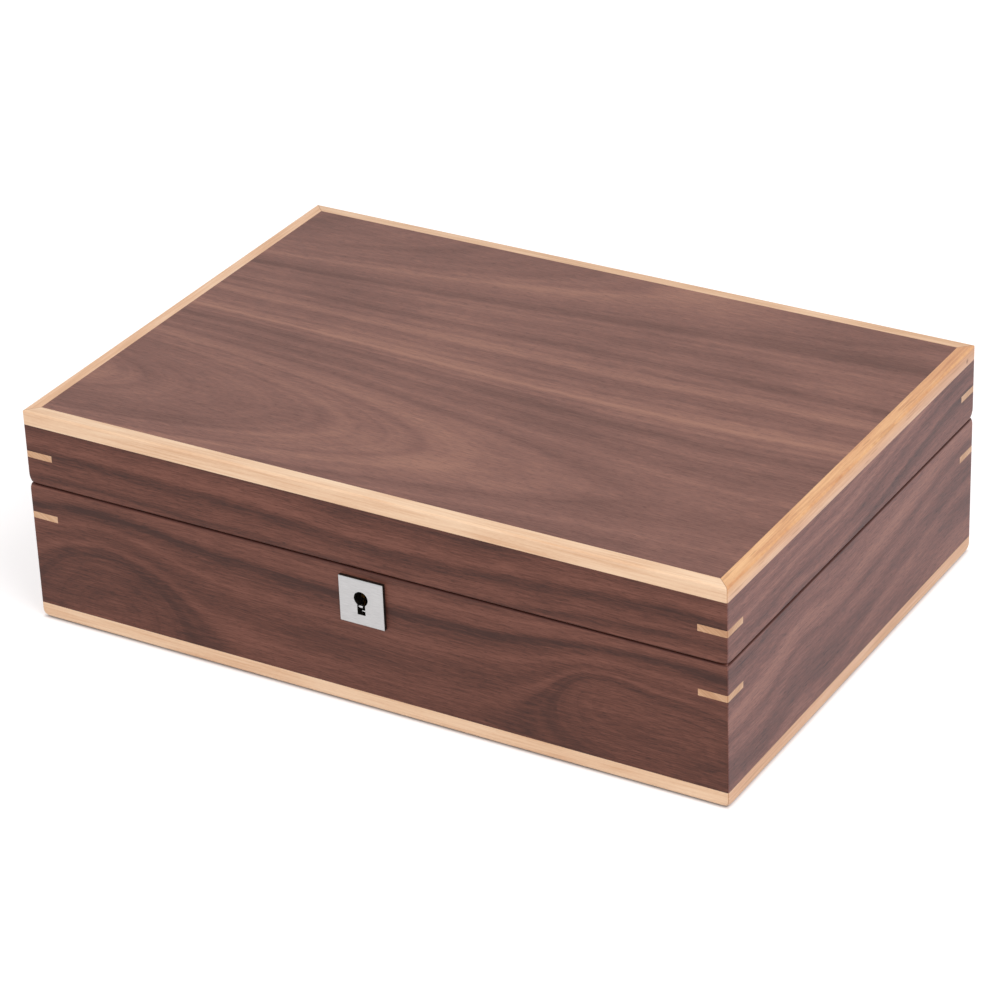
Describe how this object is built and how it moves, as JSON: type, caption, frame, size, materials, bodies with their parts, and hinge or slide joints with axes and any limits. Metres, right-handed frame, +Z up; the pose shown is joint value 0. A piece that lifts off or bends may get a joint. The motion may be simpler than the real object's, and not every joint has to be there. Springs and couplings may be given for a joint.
{
  "type": "lockable watch box",
  "caption": "Rectangular veneered case with pale edge strips, a stop-hinged lid, a warded box lock behind a square keyhole plate, and loose watch cushions in lined cells.",
  "frame": {"origin": "middle of the felt underside, on the surface that the box stands on", "axes": "+X to the right along the front, +Y from the front with the keyhole to the hinged back, +Z up"},
  "size_m": [0.33, 0.2372, 0.1],
  "materials": {
    "walnut_veneer": "satin lacquer over flat-sawn walnut veneer",
    "maple": "satin lacquer over solid maple",
    "felt": "dark maroon-brown felt",
    "suede_lining": "dark brown suede cloth on card",
    "suede_cushion": "dark brown suede cloth over foam",
    "satin_steel": "satin stainless steel",
    "nickel_plate": "satin nickel plate on brass",
    "lock_brass": "plain machined brass",
    "spring_steel": "blued spring steel"
  },
  "bodies": {
    "base": {"base_front_wall": "walnut_veneer", "base_right_wall": "walnut_veneer", "base_back_wall": "walnut_veneer", "base_left_wall": "walnut_veneer", "base_front_lipping": "maple", "base_right_lipping": "maple", "base_back_lipping": "maple", "base_left_lipping": "maple", "base_bottom_panel": "walnut_veneer", "base_corner_keys": "maple", "base_felt": "felt", "base_lining_front": "suede_lining", "base_lining_back": "suede_lining", "base_lining_ends": "suede_lining", "base_lining_floor": "suede_lining", "long_divider": "suede_lining", "cross_divider_1": "suede_lining", "cross_divider_2": "suede_lining", "cross_divider_3": "suede_lining", "cross_divider_4": "suede_lining", "left_hinge_base_leaf": "nickel_plate", "right_hinge_base_leaf": "nickel_plate", "hinge_pins": "nickel_plate", "hinge_screws_base": "nickel_plate", "escutcheon_plate": "satin_steel", "lock_back_plate": "nickel_plate", "lock_cap": "lock_brass", "drill_pin": "lock_brass", "bolt_spring": "spring_steel", "lock_screws": "nickel_plate"},
    "lid": {"lid_front_wall": "walnut_veneer", "lid_right_wall": "walnut_veneer", "lid_back_wall": "walnut_veneer", "lid_left_wall": "walnut_veneer", "lid_front_lipping": "maple", "lid_right_lipping": "maple", "lid_back_lipping": "maple", "lid_left_lipping": "maple", "lid_top_panel": "walnut_veneer", "lid_corner_keys": "maple", "lid_lining_sides": "suede_lining", "lid_lining_ends": "suede_lining", "lid_pad": "suede_lining", "left_hinge_lid_leaf": "nickel_plate", "right_hinge_lid_leaf": "nickel_plate", "hinge_screws_lid": "nickel_plate", "link_plate": "nickel_plate", "link_screws": "nickel_plate"},
    "bolt": {"lock_bolt": "lock_brass"},
    "cushion_1": {"watch_cushion_1": "suede_cushion"},
    "cushion_2": {"watch_cushion_2": "suede_cushion"},
    "cushion_3": {"watch_cushion_3": "suede_cushion"},
    "cushion_4": {"watch_cushion_4": "suede_cushion"},
    "cushion_5": {"watch_cushion_5": "suede_cushion"},
    "cushion_6": {"watch_cushion_6": "suede_cushion"},
    "cushion_7": {"watch_cushion_7": "suede_cushion"},
    "cushion_8": {"watch_cushion_8": "suede_cushion"},
    "cushion_9": {"watch_cushion_9": "suede_cushion"},
    "cushion_10": {"watch_cushion_10": "suede_cushion"}
  },
  "joints": [
    {"name": "lid_hinge", "type": "hinge", "parent": "base", "child": "lid", "pos_m": [0, 0.1177, 0.0657], "axis": [-1, 0, 0], "range_deg": [0, 95]},
    {"name": "bolt_slide", "type": "slide", "parent": "base", "child": "bolt", "axis": [1, 0, 0], "range_m": [0, 0.0045]},
    {"name": "cushion_1_lift", "type": "slide", "parent": "base", "child": "cushion_1", "axis": [0, 0, 1], "range_m": [0, 0.028]},
    {"name": "cushion_2_lift", "type": "slide", "parent": "base", "child": "cushion_2", "axis": [0, 0, 1], "range_m": [0, 0.028]},
    {"name": "cushion_3_lift", "type": "slide", "parent": "base", "child": "cushion_3", "axis": [0, 0, 1], "range_m": [0, 0.028]},
    {"name": "cushion_4_lift", "type": "slide", "parent": "base", "child": "cushion_4", "axis": [0, 0, 1], "range_m": [0, 0.028]},
    {"name": "cushion_5_lift", "type": "slide", "parent": "base", "child": "cushion_5", "axis": [0, 0, 1], "range_m": [0, 0.028]},
    {"name": "cushion_6_lift", "type": "slide", "parent": "base", "child": "cushion_6", "axis": [0, 0, 1], "range_m": [0, 0.028]},
    {"name": "cushion_7_lift", "type": "slide", "parent": "base", "child": "cushion_7", "axis": [0, 0, 1], "range_m": [0, 0.028]},
    {"name": "cushion_8_lift", "type": "slide", "parent": "base", "child": "cushion_8", "axis": [0, 0, 1], "range_m": [0, 0.028]},
    {"name": "cushion_9_lift", "type": "slide", "parent": "base", "child": "cushion_9", "axis": [0, 0, 1], "range_m": [0, 0.028]},
    {"name": "cushion_10_lift", "type": "slide", "parent": "base", "child": "cushion_10", "axis": [0, 0, 1], "range_m": [0, 0.028]}
  ]
}
